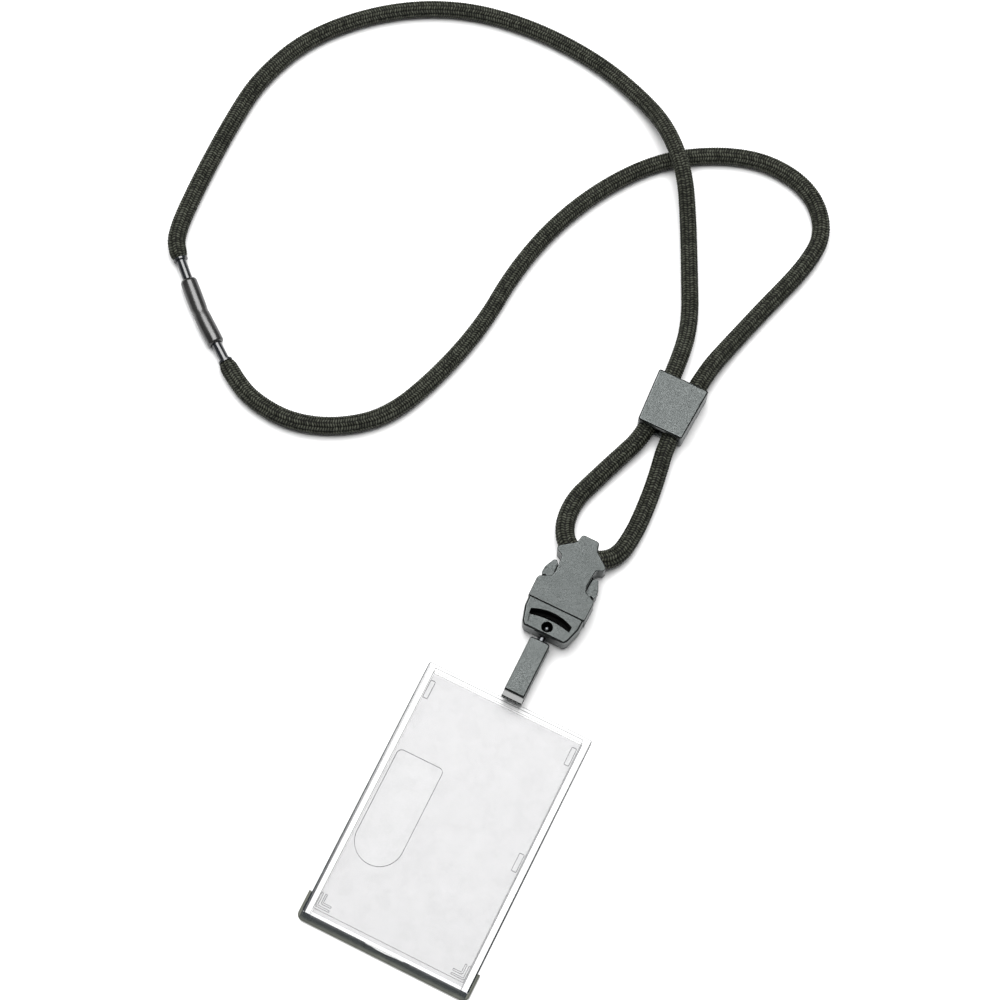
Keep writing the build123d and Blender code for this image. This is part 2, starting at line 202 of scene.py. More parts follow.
def over(tree, first, second):
    """first / second."""
    return maths(tree, "DIVIDE", first, second)


def between(tree, share, low, high):
    """low where share is 0, high where it is 1."""
    return plus(tree, times(tree, share, high - low), low)


def clamped(tree, value):
    """The value held between 0 and 1."""
    node = add(tree, "ShaderNodeClamp")
    tree.links.new(value, node.inputs["Value"])
    return node.outputs[0]


def link_new(name, mesh):
    """A new object at the origin, for a finished mesh."""
    thing = bpy.data.objects.new(name, mesh)
    bpy.context.scene.collection.objects.link(thing)
    return thing


# %% [markdown]
# ## Tools for materials
# Each finish is a Principled shader with its plain numbers set on the shader itself, and only what
# varies over the surface comes from nodes.

# %% Material helpers
def finish_material(name, **numbers):
    """A material with one Principled shader, its constants set by socket name."""
    material = bpy.data.materials.new(name)
    material.use_nodes = True
    shader = material.node_tree.nodes["Principled BSDF"]
    for socket, value in numbers.items():
        shader.inputs[socket.replace("_", " ")].default_value = value
    return material, material.node_tree, shader


def noise(tree, vector, scale, detail=3.0, roughness=0.55):
    """A Noise texture's value over the given coordinates."""
    node = add(tree, "ShaderNodeTexNoise")
    node.inputs["Scale"].default_value = scale
    node.inputs["Detail"].default_value = detail
    node.inputs["Roughness"].default_value = roughness
    tree.links.new(vector, node.inputs["Vector"])
    return node.outputs["Fac"]


def ramp(tree, value, stops):
    """A colour ramp: stops are (position, colour)."""
    node = add(tree, "ShaderNodeValToRGB")
    points = node.color_ramp.elements
    while len(points) < len(stops):
        points.new(0.5)
    for point, (position, colour) in zip(points, stops):
        point.position = position
        point.color = (*colour, 1.0)
    tree.links.new(value, node.inputs["Fac"])
    return node.outputs["Color"]


def bump(tree, height, distance, strength):
    """A Bump node's normal from a height."""
    node = add(tree, "ShaderNodeBump")
    node.inputs["Strength"].default_value = strength
    node.inputs["Distance"].default_value = distance
    tree.links.new(height, node.inputs["Height"])
    return node.outputs["Normal"]


def wear(material, *objects):
    """Put a material on objects in place of what they have."""
    for thing in objects:
        thing.data.materials.clear()
        thing.data.materials.append(material)
    print(material.name, "on", ", ".join(thing.name for thing in objects))


floor_grey = (0.86, 0.86, 0.86, 1.0)
floor_material, tree, shader = finish_material("pale_floor", Roughness=0.9, Base_Color=floor_grey)
wear(floor_material, floor)

# %% [markdown]
# ## The cord's line
# A free cord has one fixed length and lies in one smooth line. The route below is the CAD model's
# own list of points, in millimetres, and a NURBS spline draws the line through them. Where the cord
# passes over itself the spline rises just clear of the strand under it.

# %% The cord's route
CORD_DIAMETER = 6.2 * mm
CORD_RADIUS = CORD_DIAMETER / 2
# heights of the cord's middle, in millimetres
LOW = 3.1  # on the table
SLIDER_MID = 5.2  # through the slider
BUCKLE_MID = 4.8  # through the buckle's bar
HUMP = 10.1  # over its own strand

cord_route = [
    (-171.63, 134.99, LOW),
    (-175.29, 138.4, LOW),
    (-177.3, 144.2, LOW),
    (-178.3, 153.0, LOW),
    (-179.1, 168.5, LOW),
    (-179.3, 188.0, LOW),
    (-178.2, 207.0, LOW),
    (-169.8, 229.0, LOW),
    (-150.5, 249.5, LOW),
    (-127.0, 262.5, LOW),
    (-101.0, 267.0, LOW),
    (-74.0, 265.5, LOW),
    (-52.0, 258.5, 4.6),
    (-39.5, 250.2, HUMP),
    (-28.0, 238.7, HUMP),
    (-20.0, 225.3, 4.6),
    (-11.7, 209.0, LOW),
    (-3.3, 192.0, LOW),
    (-0.7, 177.0, SLIDER_MID),
    (0.3, 149.5, SLIDER_MID),
    (-4.8, 136.6, 3.9),
    (-8.5, 126.7, LOW),
    (-11.6, 117.6, LOW),
    (-10.8, 107.7, 3.8),
    (-5.6, 101.0, BUCKLE_MID),
    (3.2, 100.7, BUCKLE_MID),
    (10.4, 105.9, 3.9),
    (11.7, 117.0, LOW),
    (11.1, 128.2, LOW),
    (10.1, 137.2, 3.9),
    (7.9, 149.5, SLIDER_MID),
    (8.9, 177.0, SLIDER_MID),
    (12.6, 192.0, LOW),
    (17.3, 208.5, LOW),
    (23.4, 228.0, LOW),
    (24.4, 242.5, LOW),
    (14.0, 254.6, LOW),
    (-3.5, 258.0, LOW),
    (-21.0, 253.0, LOW),
    (-38.5, 241.5, LOW),
    (-51.5, 224.5, LOW),
    (-61.0, 204.0, LOW),
    (-66.0, 182.0, LOW),
    (-67.0, 160.0, LOW),
    (-72.5, 137.0, LOW),
    (-81.0, 116.5, LOW),
    (-94.5, 105.2, LOW),
    (-110.0, 99.6, LOW),
    (-125.0, 100.6, LOW),
    (-134.6, 104.91, LOW),
    (-139.94, 108.79, LOW),
]
print("route", len(cord_route), "points")


# %% The line through the route
STEPS_A_SPAN = 24


def spline_points(route, steps):
    """Points along the smooth NURBS line that a route in millimetres draws."""
    curve = bpy.data.curves.new("route", "CURVE")
    curve.dimensions = "3D"
    curve.resolution_u = steps
    spline = curve.splines.new("NURBS")
    spline.points.add(len(route) - 1)
    for point, place in zip(spline.points, route):
        point.co = (*[v * mm for v in place], 1.0)
    spline.order_u = 3
    spline.use_endpoint_u = True
    holder = bpy.data.objects.new("route", curve)
    bpy.context.scene.collection.objects.link(holder)
    bpy.context.view_layer.update()
    evaluated = holder.evaluated_get(bpy.context.evaluated_depsgraph_get())
    mesh = bpy.data.meshes.new_from_object(evaluated)
    points = [vertex.co.copy() for vertex in mesh.vertices]
    bpy.data.objects.remove(holder)
    bpy.data.curves.remove(curve)
    bpy.data.meshes.remove(mesh)
    return points


cord_path = spline_points(cord_route, STEPS_A_SPAN)
cord_length = sum((b - a).length for a, b in zip(cord_path, cord_path[1:]))
print("cord", len(cord_path), "points,", round(cord_length / mm, 1), "mm long")

# %% [markdown]
# ## Tools for geometry trees
# A geometry tree has a named input for each size, so that one tree can be tried at other sizes. It
# runs on a mesh as a modifier, takes its values by each socket's identifier, and leaves a plain
# mesh behind.

# %% Geometry Nodes helpers
def new_tree(name):
    """An empty geometry tree with its first input and its output."""
    tree = bpy.data.node_groups.new(name, "GeometryNodeTree")
    tree.interface.new_socket("Geometry", in_out="INPUT", socket_type="NodeSocketGeometry")
    tree.interface.new_socket("Geometry", in_out="OUTPUT", socket_type="NodeSocketGeometry")
    return tree, add(tree, "NodeGroupInput"), add(tree, "NodeGroupOutput")


def tree_input(tree, name, kind, value=None):
    """A named input of a tree, with its default."""
    socket = tree.interface.new_socket(name, in_out="INPUT", socket_type=kind)
    if value is not None:
        socket.default_value = value


def run_tree(name, mesh, tree, values):
    """Run a tree on a mesh and keep the result as a plain mesh with no modifier."""
    thing = link_new(name, mesh)
    modifier = thing.modifiers.new("made", "NODES")
    modifier.node_group = tree
    for item in tree.interface.items_tree:
        if item.in_out == "INPUT" and item.name in values:
            modifier[item.identifier] = values[item.name]
    bpy.context.view_layer.update()
    evaluated = thing.evaluated_get(bpy.context.evaluated_depsgraph_get())
    result = bpy.data.meshes.new_from_object(evaluated)
    thing.modifiers.remove(modifier)
    thing.data = result
    result.name = name
    triangles = sum(len(polygon.vertices) - 2 for polygon in result.polygons)
    print(name, len(result.vertices), "points,", triangles, "triangles")
    return thing


def vector_scale(tree, vector, amount):
    """A vector times a number."""
    node = add(tree, "ShaderNodeVectorMath", operation="SCALE")
    tree.links.new(vector, node.inputs[0])
    tree.links.new(amount, node.inputs["Scale"])
    return node.outputs[0]


def vector_pair(tree, operation, first, second):
    """A Vector Math node on two vectors."""
    node = add(tree, "ShaderNodeVectorMath", operation=operation)
    tree.links.new(first, node.inputs[0])
    tree.links.new(second, node.inputs[1])
    return node.outputs[0]


def keep(tree, geometry, name, kind, value):
    """Store a named attribute on the points of a geometry."""
    node = add(tree, "GeometryNodeStoreNamedAttribute", data_type=kind, domain="POINT")
    node.inputs["Name"].default_value = name
    tree.links.new(geometry, node.inputs["Geometry"])
    tree.links.new(value, node.inputs["Value"])
    return node.outputs["Geometry"]


def recall(tree, name, kind):
    """Read a named attribute."""
    node = add(tree, "GeometryNodeInputNamedAttribute", data_type=kind)
    node.inputs["Name"].default_value = name
    return node.outputs["Attribute"]


def close_tree(tree, tree_in, tree_out, geometry):
    """End a tree: real faces, in the material that comes in by name."""
    real = add(tree, "GeometryNodeRealizeInstances")
    tree.links.new(geometry, real.inputs[0])
    dress = add(tree, "GeometryNodeSetMaterial")
    tree.links.new(real.outputs[0], dress.inputs["Geometry"])
    tree.links.new(tree_in.outputs["Material"], dress.inputs["Material"])
    tree.links.new(dress.outputs[0], tree_out.inputs[0])
    print("tree", tree.name, "has", len(tree.nodes), "nodes")


# %% [markdown]
# ## The knitted cover
# The cord is a round warp-knitted braid: twelve columns of stitches run along it, and the stitches
# lean one way in one column and the other way in the next, which makes rows of V shapes. It could
# be woven from hundreds of curved yarns, but at this scale each stitch is a small pillow. Geometry
# Nodes sweep a circle along the line and push its points in and out by their place in the column
# and the row, so the relief is real and follows every bend.

# %% Sweep a circle along the line
knit, knit_in, knit_out = new_tree("knitted cover")
tree_input(knit, "Radius", "NodeSocketFloat", CORD_RADIUS)
tree_input(knit, "Rings", "NodeSocketInt", 1000)
tree_input(knit, "Points around", "NodeSocketInt", 48)
tree_input(knit, "Points a column", "NodeSocketInt", 4)
tree_input(knit, "Column depth", "NodeSocketFloat", 0.2 * mm)
tree_input(knit, "Stitch depth", "NodeSocketFloat", 0.2 * mm)
tree_input(knit, "Lean", "NodeSocketFloat", 0.2 * mm)
tree_input(knit, "Unevenness", "NodeSocketFloat", 0.3)
tree_input(knit, "Material", "NodeSocketMaterial")

as_curve = add(knit, "GeometryNodeMeshToCurve")
knit.links.new(knit_in.outputs["Geometry"], as_curve.inputs[0])
resample = add(knit, "GeometryNodeResampleCurve")
knit.links.new(as_curve.outputs[0], resample.inputs["Curve"])
knit.links.new(knit_in.outputs["Rings"], resample.inputs["Count"])
position = add(knit, "GeometryNodeInputPosition").outputs[0]
tangent = add(knit, "GeometryNodeInputTangent").outputs[0]
line = keep(knit, resample.outputs[0], "middle", "FLOAT_VECTOR", position)
line = keep(knit, line, "way", "FLOAT_VECTOR", tangent)
profile = add(knit, "GeometryNodeCurvePrimitiveCircle")
knit.links.new(knit_in.outputs["Points around"], profile.inputs["Resolution"])
knit.links.new(knit_in.outputs["Radius"], profile.inputs["Radius"])
tube = add(knit, "GeometryNodeCurveToMesh")
tube.inputs["Fill Caps"].default_value = True
knit.links.new(line, tube.inputs["Curve"])
knit.links.new(profile.outputs[0], tube.inputs["Profile Curve"])
knit.links.new(recall(knit, "girth", "FLOAT"), tube.inputs["Scale"])
print("sweep:", len(knit.nodes), "nodes")

# %% Each point's place in its column and row
COLUMN_ROUNDNESS = 0.7  # under 1, the columns are full, with narrow grooves
RINGS_A_ROW = 2.0

index = add(knit, "GeometryNodeInputIndex").outputs[0]
around = knit_in.outputs["Points around"]
ring_number = maths(knit, "FLOOR", over(knit, index, around))
place_in_ring = maths(knit, "MODULO", index, around)
column_number = over(knit, place_in_ring, knit_in.outputs["Points a column"])
column_share = maths(knit, "FRACT", column_number)
column_arch = maths(knit, "SINE", times(knit, column_share, pi))
column_height = maths(knit, "POWER", column_arch, COLUMN_ROUNDNESS)
row_height = maths(knit, "MODULO", ring_number, RINGS_A_ROW)
two_columns = maths(knit, "FRACT", over(knit, column_number, 2.0))
zigzag = minus(knit, maths(knit, "PINGPONG", times(knit, two_columns, 2.0), 1.0), 0.5)
print("places:", len(knit.nodes), "nodes so far")

# %% Raise and lean the stitches
UNEVEN_SEED = 7  # the stitches are a little uneven, the same way each run

uneven = add(knit, "FunctionNodeRandomValue", data_type="FLOAT")
uneven.inputs["Seed"].default_value = UNEVEN_SEED
knit.links.new(minus(knit, 1.0, knit_in.outputs["Unevenness"]), uneven.inputs[2])
stitch = times(knit, row_height, uneven.outputs[1])
stitch_height = times(knit, stitch, column_height)
column_rise = times(knit, column_height, knit_in.outputs["Column depth"])
stitch_rise = times(knit, stitch_height, knit_in.outputs["Stitch depth"])
sunk = plus(knit, knit_in.outputs["Column depth"], knit_in.outputs["Stitch depth"])
rise = minus(knit, plus(knit, column_rise, stitch_rise), sunk)

from_line = vector_pair(knit, "SUBTRACT", position, recall(knit, "middle", "FLOAT_VECTOR"))
outward = add(knit, "ShaderNodeVectorMath", operation="NORMALIZE")
knit.links.new(from_line, outward.inputs[0])
leaning = times(knit, zigzag, knit_in.outputs["Lean"])
lean = vector_scale(knit, recall(knit, "way", "FLOAT_VECTOR"), leaning)
offset = vector_pair(knit, "ADD", vector_scale(knit, outward.outputs[0], rise), lean)
move = add(knit, "GeometryNodeSetPosition")
knit.links.new(tube.outputs[0], move.inputs["Geometry"])
knit.links.new(offset, move.inputs["Offset"])
smooth = add(knit, "GeometryNodeSetShadeSmooth")
knit.links.new(move.outputs[0], smooth.inputs["Geometry"])
close_tree(knit, knit_in, knit_out, smooth.outputs[0])

# %% [markdown]
# ## The cord's finish
# Dull black polyester with a warm green cast. Most of what tells the eye "knitted" is the shade in
# the hollows between pale stitches, and it is finer than the mesh, so a map that counts columns and
# rows paints that shade into the colour: each stitch is a pillow, split in three plies, with painted
# shade at its edges and between its plies and a tone of its own. A fine noise bends the map a little,
# because no two stitches lie quite alike. Sheen gives the soft bloom.

# %% Where each stitch is
STRAY_SCALE = 800.0
COLUMN_STRAY = 0.5
ROW_STRAY = 0.9

cord_material, tree, shader = finish_material(
    "braided_cord",
    Roughness=0.6,
    Sheen_Weight=0.05,
    Sheen_Roughness=0.4,
    Sheen_Tint=(0.75, 0.78, 0.66, 1.0),
    Specular_IOR_Level=0.12,
)
stitch_place = add(tree, "ShaderNodeSeparateXYZ")
tree.links.new(add(tree, "ShaderNodeUVMap", uv_map="stitches").outputs["UV"], stitch_place.inputs[0])
cord_place = add(tree, "ShaderNodeTexCoord").outputs["Object"]
stray = minus(tree, noise(tree, cord_place, STRAY_SCALE, 2.0), 0.5)
column = plus(tree, stitch_place.outputs["X"], times(tree, stray, COLUMN_STRAY))
row = plus(tree, stitch_place.outputs["Y"], times(tree, stray, ROW_STRAY))
print(cord_material.name, "strays by up to", ROW_STRAY / 2, "of a row")

# %% The yarn's relief and colour
PLIES = 3.0
FIBRE_SCALE = 3000.0
PATCH_SCALE = 90.0
FIBRE_SHARE = 0.35  # of the relief
YARN_RELIEF = 0.18 * mm
# from the painted shade in the hollows to the lit crown of a stitch
YARN_COLOURS_AND_SHADE = [
    (0.0, (0.0004, 0.0004, 0.0002)),
    (0.3, (0.0020, 0.0023, 0.0014)),
    (0.45, (0.0150, 0.0164, 0.0110)),
    (0.7, (0.042, 0.045, 0.033)),
    (1.0, (0.070, 0.074, 0.058)),
]


def arch(tree, value, sharpness):
    """0 at each whole number and 1 half way between, rounded."""
    share = maths(tree, "FRACT", value)
    return maths(tree, "POWER", maths(tree, "SINE", times(tree, share, pi)), sharpness)


# the pillow and the plies paint shade into the hollows between stitches and between plies
pillow = times(tree, arch(tree, column, 0.4), arch(tree, row, 1.2))
plies = arch(tree, times(tree, row, PLIES), 0.6)
cell = add(tree, "ShaderNodeCombineXYZ")
tree.links.new(maths(tree, "FLOOR", column), cell.inputs["X"])
tree.links.new(maths(tree, "FLOOR", row), cell.inputs["Y"])
own = add(tree, "ShaderNodeTexWhiteNoise", noise_dimensions="2D")
tree.links.new(cell.outputs[0], own.inputs["Vector"])
fibres = noise(tree, cord_place, FIBRE_SCALE, 3.0, 0.6)
patches = noise(tree, cord_place, PATCH_SCALE, 2.0)
stitch_tone_and_ply_shade = between(tree, own.outputs["Value"], 0.6, 1.15)
stitch_tone_and_ply_shade = times(tree, stitch_tone_and_ply_shade, between(tree, patches, 0.75, 1.25))
stitch_tone_and_ply_shade = times(tree, stitch_tone_and_ply_shade, between(tree, plies, 0.8, 1.1))
lit = times(tree, pillow, stitch_tone_and_ply_shade)
# the ramp turns this into colour: near black in the painted shade of the hollows, pale on the crowns
tree.links.new(ramp(tree, lit, YARN_COLOURS_AND_SHADE), shader.inputs["Base Color"])
yarn_height = plus(tree, pillow, times(tree, fibres, FIBRE_SHARE))
tree.links.new(bump(tree, yarn_height, YARN_RELIEF, 0.8), shader.inputs["Normal"])
print(cord_material.name, "has", len(tree.nodes), "nodes")

# %% [markdown]
# ## How thick the cord is
# A knitted tube gets thinner where it is pulled and thicker where it is pushed together, as at the
# bends near the buckle. Its ends are tucked in round the pins. The line carries this girth point by
# point, and the tree scales its circle by it.

# %% The cord's girth along its line
END_ROUND = 3.0 * mm  # the ends are tucked in over this length
END_GIRTH = 0.62
# share of the cord's length, share of its nominal thickness
GIRTH_STOPS = [
    (0.0, 1.0),
    (0.08, 1.0),
    (0.14, 0.94),
    (0.30, 0.93),
    (0.38, 0.99),
    (0.44, 1.0),
    (0.48, 1.07),
    (0.53, 1.03),
    (0.555, 1.0),
    (0.58, 1.07),
    (0.62, 1.0),
    (0.70, 1.0),
    (0.76, 0.94),
    (0.86, 0.93),
    (0.92, 1.0),
    (1.0, 1.0),
]


def cord_girth(along):
    """The cord's thickness as a share of its nominal one; it is tucked in at both ends."""
    girth = float(np.interp(along / cord_length, *zip(*GIRTH_STOPS)))
    from_end = min(along, cord_length - along)
    if from_end >= END_ROUND:
        return girth
    back = 1.0 - from_end / END_ROUND
    return girth * (END_GIRTH + (1.0 - END_GIRTH) * sqrt(1.0 - back * back))


line_mesh = bpy.data.meshes.new("cord_line")
line_mesh.from_pydata(cord_path, [(i, i + 1) for i in range(len(cord_path) - 1)], [])
line_girth = line_mesh.attributes.new("girth", "FLOAT", "POINT")
along = 0.0
for i, point in enumerate(cord_path):
    if i:
        along += (point - cord_path[i - 1]).length
    line_girth.data[i].value = cord_girth(along)
girths = [item.value for item in line_girth.data]
print("girth from", round(min(girths), 2), "to", round(max(girths), 2))

# %% [markdown]
# ## Knitting it
# One run of the tree makes the whole cover. The sweep numbers its points ring after ring, so each
# point's number gives its column and row, and those become the map that the finish reads. At the
# seam the last column ends on the first column's points, so its corners are counted on past it.

# %% Knit the cord
POINTS_AROUND = 48
POINTS_A_COLUMN = 4
COVER = 0.1 * mm  # how far the stitches stand over the nominal radius

cord_settings = {
    "Radius": CORD_RADIUS + COVER,
    "Rings": 1900,
    "Points around": POINTS_AROUND,
    "Points a column": POINTS_A_COLUMN,
    "Column depth": 0.22 * mm,
    "Stitch depth": 0.2 * mm,
    "Lean": 0.5 * mm,
    "Unevenness": 0.35,
    "Material": cord_material,
}
cord = run_tree("knitted_neck_cord", line_mesh, knit, cord_settings)

# %% Map its stitches
corner_point = np.empty(len(cord.data.loops), dtype=np.int32)
cord.data.loops.foreach_get("vertex_index", corner_point)
ring_of, place_of = np.divmod(corner_point, POINTS_AROUND)
face_size = np.empty(len(cord.data.polygons), dtype=np.int32)
cord.data.polygons.foreach_get("loop_total", face_size)
face_of_corner = np.repeat(np.arange(len(face_size)), face_size)
highest = np.zeros(len(face_size), dtype=np.int32)
np.maximum.at(highest, face_of_corner, place_of)
at_seam = (highest[face_of_corner] == POINTS_AROUND - 1) & (place_of == 0)
columns = np.where(at_seam, POINTS_AROUND, place_of) / POINTS_A_COLUMN
rows = ring_of / RINGS_A_ROW
stitch_map = cord.data.uv_layers.new(name="stitches")
stitch_map.data.foreach_set("uv", np.stack([columns, rows], axis=1).astype(np.float32).ravel())
print("stitches:", int(columns.max()), "columns by", int(rows.max()), "rows")

# %% [markdown]
# ## The breakaway sleeve
# A short length of soft vinyl tube is pushed over both pins, and pulls off if the cord is caught.
# It follows the two pins, which are not quite in line, so it bends softly in the middle, swells
# over each pin's end and has rounded lips. It could be a bent cylinder, but rings placed one by one
# along its line let the lips, the swells and the pinch at the bend each have their own size.

# %% The sleeve's line
HALF_SLEEVE = 12.6 * mm
BEND_EASE = 0.45  # how much of each half the bend takes
STRAIGHT_SHARE = 0.3  # of the points, at each end

pull_joint = next(joint for joint in frame["joints"] if joint["name"] == "breakaway_pull")
upper_way = Vector(pull_joint["axis"])
upper_tip, lower_tip = cord_path[0], cord_path[-1]
lower_way = (Vector(cord_route[-2]) - Vector(cord_route[-1])).normalized()
bend, _ = intersect_line_line(upper_tip, upper_tip + upper_way, lower_tip, lower_tip + lower_way)


def curve_through(start, corner, end, count):
    """Points on one soft bend: straight, round the corner, straight."""
    first = start.lerp(corner, 1 - BEND_EASE)
    last = corner.lerp(end, BEND_EASE)
    points = []
    for i in range(count):
        t = i / (count - 1)
        if t < STRAIGHT_SHARE:
            points.append(start.lerp(first, t / STRAIGHT_SHARE))
        elif t > 1 - STRAIGHT_SHARE:
            points.append(last.lerp(end, (t - 1 + STRAIGHT_SHARE) / STRAIGHT_SHARE))
        else:
            s = (t - STRAIGHT_SHARE) / (1 - 2 * STRAIGHT_SHARE)
            points.append(first.lerp(corner, s).lerp(corner.lerp(last, s), s))
    return points


sleeve_start = bend + upper_way * HALF_SLEEVE
sleeve_end = bend + lower_way * HALF_SLEEVE
middle_line = curve_through(sleeve_start, bend, sleeve_end, 41)
print("sleeve bends at", [round(v / mm, 1) for v in bend])


# %% Turn the sleeve
SLEEVE_OUTER = 2.9 * mm
SLEEVE_INNER = 1.75 * mm
SLEEVE_SIDES = 40
LIP_SHARE = 0.03  # of the sleeve's length
LIP_DROP = 0.35 * mm
SWELL = 0.08 * mm
PINCH_SHARE = 0.09
PINCH = 0.22 * mm


def turned(name, rings, sides):
    """A closed surface through rings of (middle, way, radius); the last ring joins the first."""
    corners, faces = [], []
    up = Vector((0, 0, 1))
    for middle, way, radius in rings:
        sideways = way.cross(up).normalized()
        upright = sideways.cross(way).normalized()
        for k in range(sides):
            turn = 2 * pi * k / sides
            corners.append(middle + (sideways * cos(turn) + upright * sin(turn)) * radius)
    count = len(rings)
    for r in range(count):
        s = (r + 1) % count
        for k in range(sides):
            n = (k + 1) % sides
            faces.append((r * sides + k, s * sides + k, s * sides + n, r * sides + n))
    mesh = bpy.data.meshes.new(name)
    mesh.from_pydata(corners, [], faces)
    mesh.validate()
    mesh.update()
    for polygon in mesh.polygons:
        polygon.use_smooth = True
    return mesh


ways = [(b - a).normalized() for a, b in zip(middle_line, middle_line[1:])]
ways.append(ways[-1])
outer_rings, inner_rings = [], []
for i, (middle, way) in enumerate(zip(middle_line, ways)):
    t = i / (len(middle_line) - 1)
    lip = LIP_DROP * max(0.0, 1 - min(t, 1 - t) / LIP_SHARE) ** 2
    swell = SWELL * sin(2 * pi * t) ** 2
    pinch = PINCH * max(0.0, 1 - abs(t - 0.5) / PINCH_SHARE) ** 2
    outer_rings.append((middle, way, SLEEVE_OUTER - lip + swell - pinch))
    inner_rings.append((middle, way, SLEEVE_INNER))
sleeve_rings = outer_rings + inner_rings[::-1]
sleeve = link_new("soft_breakaway_sleeve", turned("soft_breakaway_sleeve", sleeve_rings, SLEEVE_SIDES))
print("sleeve", len(sleeve.data.polygons), "faces")

# %% [markdown]
# ## Moulded grain
# The buckle, the slider, the link and the sleeve all come out of moulds with a fine eroded texture.
# One node group holds it: a grain for the bump and a tone for slight changes of gloss. Each
# material places the group with its own scale.

# %% Shared grain group
BROAD_SCALE = 140.0

grain = bpy.data.node_groups.new("moulded grain", "ShaderNodeTree")
grain.interface.new_socket("Scale", in_out="INPUT", socket_type="NodeSocketFloat")
grain.interface.new_socket("Grain", in_out="OUTPUT", socket_type="NodeSocketFloat")
grain.interface.new_socket("Tone", in_out="OUTPUT", socket_type="NodeSocketFloat")
grain_in = add(grain, "NodeGroupInput")
grain_out = add(grain, "NodeGroupOutput")
grain_place = add(grain, "ShaderNodeTexCoord").outputs["Object"]
fine = add(grain, "ShaderNodeTexNoise")
fine.inputs["Detail"].default_value = 3.0
grain.links.new(grain_place, fine.inputs["Vector"])
grain.links.new(grain_in.outputs["Scale"], fine.inputs["Scale"])
broad = noise(grain, grain_place, BROAD_SCALE)
grain.links.new(fine.outputs["Fac"], grain_out.inputs["Grain"])
grain.links.new(broad, grain_out.inputs["Tone"])


def use_grain(tree, scale):
    """The grain group in a material, with its scale. Gives (grain, tone)."""
    node = add(tree, "ShaderNodeGroup", node_tree=grain)
    node.inputs["Scale"].default_value = scale
    return node.outputs["Grain"], node.outputs["Tone"]


print("grain group has", len(grain.nodes), "nodes")

# %% [markdown]
# ## Black moulding
# The buckle, the slider and the link are black plastic. Their flats keep the mould's grain and
# mirror the light as an even grey, while their rounded edges are polished by handling and mirror
# the dark room, and are painted darker too, a painted shade that draws each piece's outline. One
# finish can do both, because how far a face is tilted tells a flat from an edge, and no second mesh
# is needed.

# %% Black moulding
BLACK_GRAIN = 2400.0
GRAIN_DEPTH = 0.26 * mm
EDGE_ROUGHNESS = 0.12
ROUGHNESS_SPREAD = 0.1
FLAT_TILT, FLAT_EDGE = 0.004, 60.0  # the tilt where a flat ends, and how sharply
UPRIGHT_TILT, UPRIGHT_EDGE = 0.98, 12.0  # the same where an upright wall begins
# the first stop, the darkest, is the painted shade that the rounded edges take
BLACK_TONES = [
    (0.0, (0.001, 0.0013, 0.0012)),
    (0.3, (0.004, 0.0055, 0.005)),
    (0.75, (0.012, 0.0145, 0.014)),
]


def tilt(tree):
    """How far a face is turned from lying flat: 0 flat, 1 upright."""
    parts = add(tree, "ShaderNodeSeparateXYZ")
    tree.links.new(add(tree, "ShaderNodeNewGeometry").outputs["Normal"], parts.inputs[0])
    return minus(tree, 1.0, maths(tree, "ABSOLUTE", parts.outputs["Z"]))


def black_finish(name, flat_roughness):
    """Grained black moulding, dull on its flats and smooth on its rounded edges."""
    material, tree, shader = finish_material(
        name,
        IOR=1.54,
        Specular_IOR_Level=0.95,
        Specular_Tint=(0.93, 1.0, 0.985, 1.0),
    )
    fine_grain, tone = use_grain(tree, BLACK_GRAIN)
    tilted = tilt(tree)
    off_flat = clamped(tree, times(tree, minus(tree, tilted, FLAT_TILT), FLAT_EDGE))
    off_upright = clamped(tree, times(tree, minus(tree, UPRIGHT_TILT, tilted), UPRIGHT_EDGE))
    rounded = times(tree, off_flat, off_upright)
    unrounded = minus(tree, 1.0, rounded)
    # the rounded edges take the darkest stop: painted shade that darkens each piece's outline
    shade = ramp(tree, times(tree, tone, unrounded), BLACK_TONES)
    tree.links.new(shade, shader.inputs["Base Color"])
    dull = between(tree, tone, flat_roughness - ROUGHNESS_SPREAD, flat_roughness + ROUGHNESS_SPREAD)
    smoother = times(tree, rounded, EDGE_ROUGHNESS - flat_roughness)
    tree.links.new(plus(tree, dull, smoother), shader.inputs["Roughness"])
    grained = times(tree, minus(tree, fine_grain, 0.5), unrounded)
    tree.links.new(bump(tree, grained, GRAIN_DEPTH, 1.0), shader.inputs["Normal"])
    print(name, "has", len(tree.nodes), "nodes")
    return material


black_material = black_finish("black_moulding", 0.43)
buckle_material = black_finish("buckle_moulding", 0.47)

# %% [markdown]
# ## The smaller finishes
# The walls of the buckle's slot are painted near black and barely mirror, a painted shade for the
# depth of the slot; the step at the foot of the link is polished where the rest is grained, the
# sleeve is soft vinyl, the pins are glossy and the two small axles are nickelled steel. They differ
# only in their numbers, so one helper makes them all: a ramp over the tone for the colour, a range
# of roughness, and a bump where there is a grain to feel.

# %% Slot walls, step, sleeve, pins and steel
def toned_finish(name, scale, colours, roughness=None, relief=None, **numbers):
    """A finish that changes a little with the broad tone; relief is (depth, strength)."""
    material, tree, shader = finish_material(name, **numbers)
    fine_grain, tone = use_grain(tree, scale)
    tree.links.new(ramp(tree, tone, colours), shader.inputs["Base Color"])
    if roughness:
        tree.links.new(between(tree, tone, *roughness), shader.inputs["Roughness"])
    if relief:
        tree.links.new(bump(tree, fine_grain, *relief), shader.inputs["Normal"])
    print(name, "has", len(tree.nodes), "nodes")
    return material


